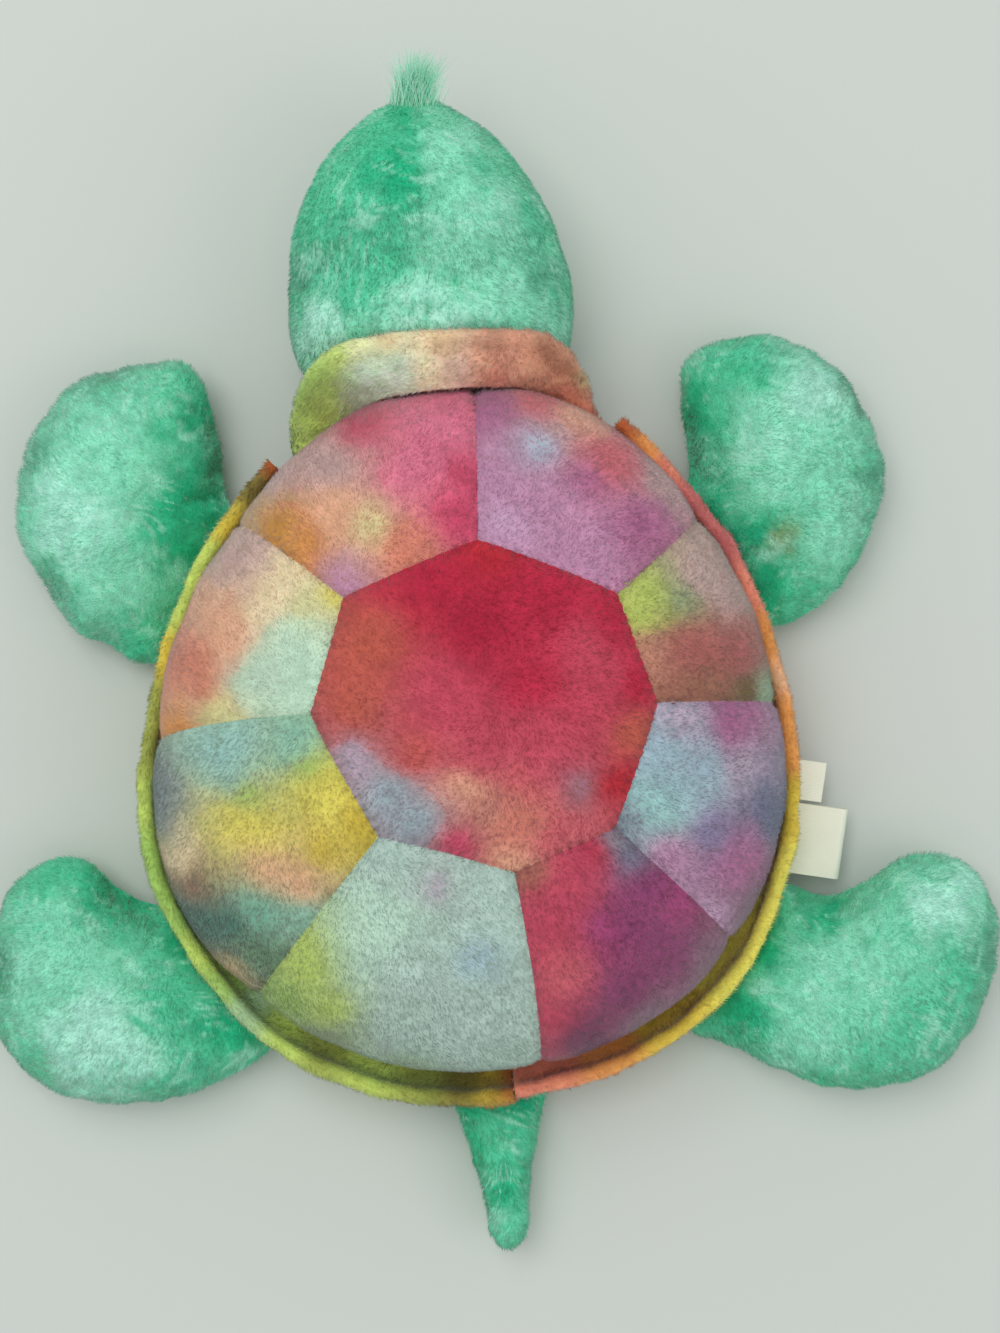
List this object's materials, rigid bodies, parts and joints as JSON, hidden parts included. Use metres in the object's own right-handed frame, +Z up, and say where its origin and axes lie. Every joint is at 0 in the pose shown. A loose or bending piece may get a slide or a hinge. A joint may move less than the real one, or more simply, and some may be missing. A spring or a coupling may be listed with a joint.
{
  "type": "plush turtle",
  "caption": "Stuffed toy turtle with a tie-dyed patchwork shell, a folded rim and collar, and mint head, flippers and tail that bend at their seams.",
  "frame": {"origin": "on the surface it lies on, under the middle of the shell's plan outline", "axes": "+Y towards the head, +X towards the turtle's right side as seen from above with the head away, +Z up from the belly"},
  "size_m": [0.2237, 0.2671, 0.062],
  "materials": {
    "crimson_plush": "tie-dyed short-pile plush",
    "shell_panel_right_plush": "tie-dyed short-pile plush",
    "shell_panel_front_right_plush": "tie-dyed short-pile plush",
    "shell_panel_front_left_plush": "tie-dyed short-pile plush",
    "shell_panel_left_plush": "tie-dyed short-pile plush",
    "shell_panel_rear_left_plush": "tie-dyed short-pile plush",
    "shell_panel_tail_left_plush": "tie-dyed short-pile plush",
    "shell_panel_tail_right_plush": "tie-dyed short-pile plush",
    "shell_panel_rear_right_plush": "tie-dyed short-pile plush",
    "rim_left_plush": "tie-dyed short-pile plush, folded double",
    "rim_right_plush": "tie-dyed short-pile plush, folded double",
    "collar_plush": "tie-dyed short-pile plush, folded double",
    "belly_plush": "tie-dyed short-pile plush",
    "mint_crushed_plush": "crushed short-pile plush",
    "polyester_fibre": "loose fibre",
    "pellet_bag_cloth": "plain weave",
    "glossy_black_plastic": "polished",
    "white_plastic": "moulded",
    "white_satin": "satin ribbon"
  },
  "bodies": {
    "torso": {"shell_panel_centre": "crimson_plush", "shell_panel_right": "shell_panel_right_plush", "shell_panel_front_right": "shell_panel_front_right_plush", "shell_panel_front_left": "shell_panel_front_left_plush", "shell_panel_left": "shell_panel_left_plush", "shell_panel_rear_left": "shell_panel_rear_left_plush", "shell_panel_tail_left": "shell_panel_tail_left_plush", "shell_panel_tail_right": "shell_panel_tail_right_plush", "shell_panel_rear_right": "shell_panel_rear_right_plush", "belly_panel": "belly_plush", "shell_stuffing": "polyester_fibre", "pellet_pouch": "pellet_bag_cloth", "rim_left": "rim_left_plush", "rim_right": "rim_right_plush", "neck_collar": "collar_plush"},
    "head": {"head_cover_left": "mint_crushed_plush", "head_cover_right": "mint_crushed_plush", "head_stuffing": "polyester_fibre", "eye_left": "glossy_black_plastic", "eye_right": "glossy_black_plastic", "eye_washer_left": "white_plastic", "eye_washer_right": "white_plastic", "hair_tuft": "mint_crushed_plush"},
    "front_left_flipper": {"front_left_flipper_upper": "mint_crushed_plush", "front_left_flipper_lower": "mint_crushed_plush", "front_left_flipper_stuffing": "polyester_fibre"},
    "front_right_flipper": {"front_right_flipper_upper": "mint_crushed_plush", "front_right_flipper_lower": "mint_crushed_plush", "front_right_flipper_stuffing": "polyester_fibre"},
    "hind_left_flipper": {"hind_left_flipper_upper": "mint_crushed_plush", "hind_left_flipper_lower": "mint_crushed_plush", "hind_left_flipper_stuffing": "polyester_fibre"},
    "hind_right_flipper": {"hind_right_flipper_upper": "mint_crushed_plush", "hind_right_flipper_lower": "mint_crushed_plush", "hind_right_flipper_stuffing": "polyester_fibre"},
    "tail": {"tail_upper": "mint_crushed_plush", "tail_lower": "mint_crushed_plush", "tail_stuffing": "polyester_fibre"},
    "care_tag": {"care_tag_loop": "white_satin", "care_tag_leaf": "white_satin"}
  },
  "joints": [
    {"name": "head_nod", "type": "hinge", "parent": "torso", "child": "head", "pos_m": [-0.0085, 0.0969, 0.0215], "axis": [1, 0, 0], "range_deg": [-10, 25]},
    {"name": "front_left_flipper_fold", "type": "hinge", "parent": "torso", "child": "front_left_flipper", "pos_m": [-0.05741, 0.03389, 0.0095], "axis": [0.4337, 0.901, 0], "range_deg": [-15, 25]},
    {"name": "front_right_flipper_fold", "type": "hinge", "parent": "torso", "child": "front_right_flipper", "pos_m": [0.05398, 0.04039, 0.0095], "axis": [0.4994, -0.8664, 0], "range_deg": [-15, 25]},
    {"name": "hind_left_flipper_fold", "type": "hinge", "parent": "torso", "child": "hind_left_flipper", "pos_m": [-0.05139, -0.04814, 0.0095], "axis": [-0.6796, 0.7335, 0], "range_deg": [-15, 12]},
    {"name": "hind_right_flipper_fold", "type": "hinge", "parent": "torso", "child": "hind_right_flipper", "pos_m": [0.05482, -0.04408, 0.0095], "axis": [-0.6106, -0.7919, 0], "range_deg": [-15, 12]},
    {"name": "tail_fold", "type": "hinge", "parent": "torso", "child": "tail", "pos_m": [0.00576, -0.06909, 0.0095], "axis": [-0.9973, -0.0741, 0], "range_deg": [-15, 25]},
    {"name": "care_tag_flap", "type": "hinge", "parent": "torso", "child": "care_tag", "pos_m": [0.06647, -0.01618, 0.0095], "axis": [-0.1417, -0.9899, 0], "range_deg": [-20, 20]}
  ]
}
